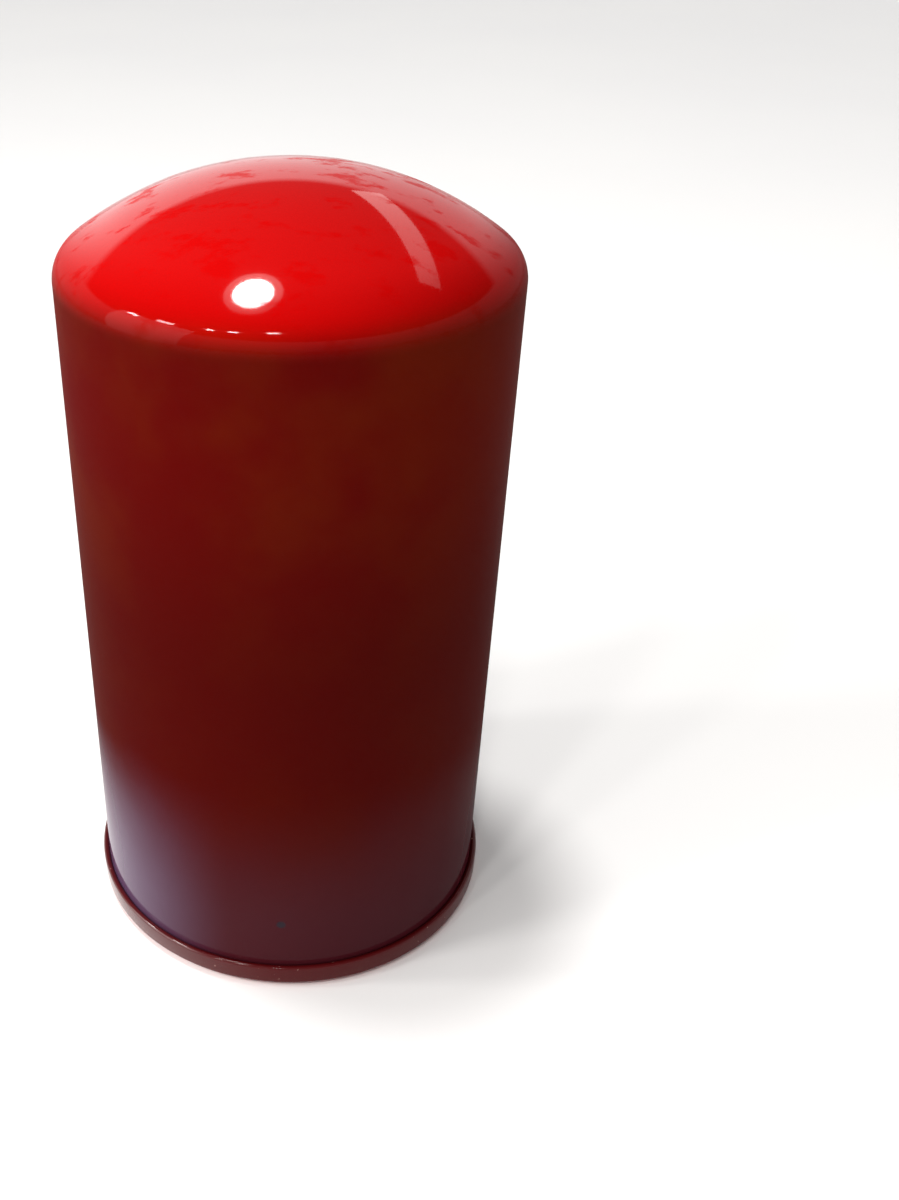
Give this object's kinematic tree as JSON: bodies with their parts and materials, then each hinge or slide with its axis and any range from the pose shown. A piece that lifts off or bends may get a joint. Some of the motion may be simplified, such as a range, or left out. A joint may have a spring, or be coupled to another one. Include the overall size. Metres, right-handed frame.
{
  "type": "spin-on oil filter",
  "caption": "Red spin-on oil filter: domed steel can, rolled seam, rubber gasket, ported base with a threaded hub, and a pleated element with drain-back and bypass valves inside.",
  "frame": {"origin": "centre of the gasket's sealing face, on the filter's axis", "axes": "+Z along the filter's axis, from the gasket and thread up through the domed end; +X through the centre of one inlet port"},
  "size_m": [0.0958, 0.0958, 0.1729],
  "materials": {
    "red_paint": "gloss",
    "zinc_plate": "satin, lightly spotted",
    "black_rubber": "matte",
    "silicone_rubber": "matte",
    "cap_steel": "satin",
    "tube_steel": "satin",
    "potting_compound": "satin",
    "filter_paper": "matte",
    "spring_steel": "satin"
  },
  "bodies": {
    "filter": {"can_shell": "red_paint", "seam_compound": "black_rubber", "seaming_lid": "red_paint", "tapping_plate": "zinc_plate", "sealing_gasket": "black_rubber", "neck_seal": "black_rubber", "lower_end_cap": "cap_steel", "lower_potting": "potting_compound", "centre_tube": "tube_steel", "pleated_media": "filter_paper", "media_seam_clip": "zinc_plate", "pleat_cords": "potting_compound", "upper_potting": "potting_compound", "upper_end_cap": "cap_steel", "bypass_seat": "zinc_plate", "bypass_cage": "zinc_plate", "bypass_spring": "spring_steel", "element_spring": "spring_steel"},
    "bypass": {"bypass_poppet": "zinc_plate", "bypass_seal": "black_rubber", "seal_washer": "zinc_plate", "bypass_stem": "spring_steel"},
    "drainback": {"drainback_valve": "silicone_rubber"}
  },
  "joints": [
    {"name": "bypass_open", "type": "slide", "parent": "filter", "child": "bypass", "axis": [0, 0, -1], "range_m": [0, 0.0045], "stiffness_N_per_m": 3000, "springref_m": -0.012, "deforming": ["bypass_spring"]},
    {"name": "drainback_lift", "type": "slide", "parent": "filter", "child": "drainback", "axis": [0, 0, 1], "range_m": [0, 0.0015], "stiffness_N_per_m": 400, "springref_m": -0.0005, "deforming": ["drainback_valve"]}
  ]
}
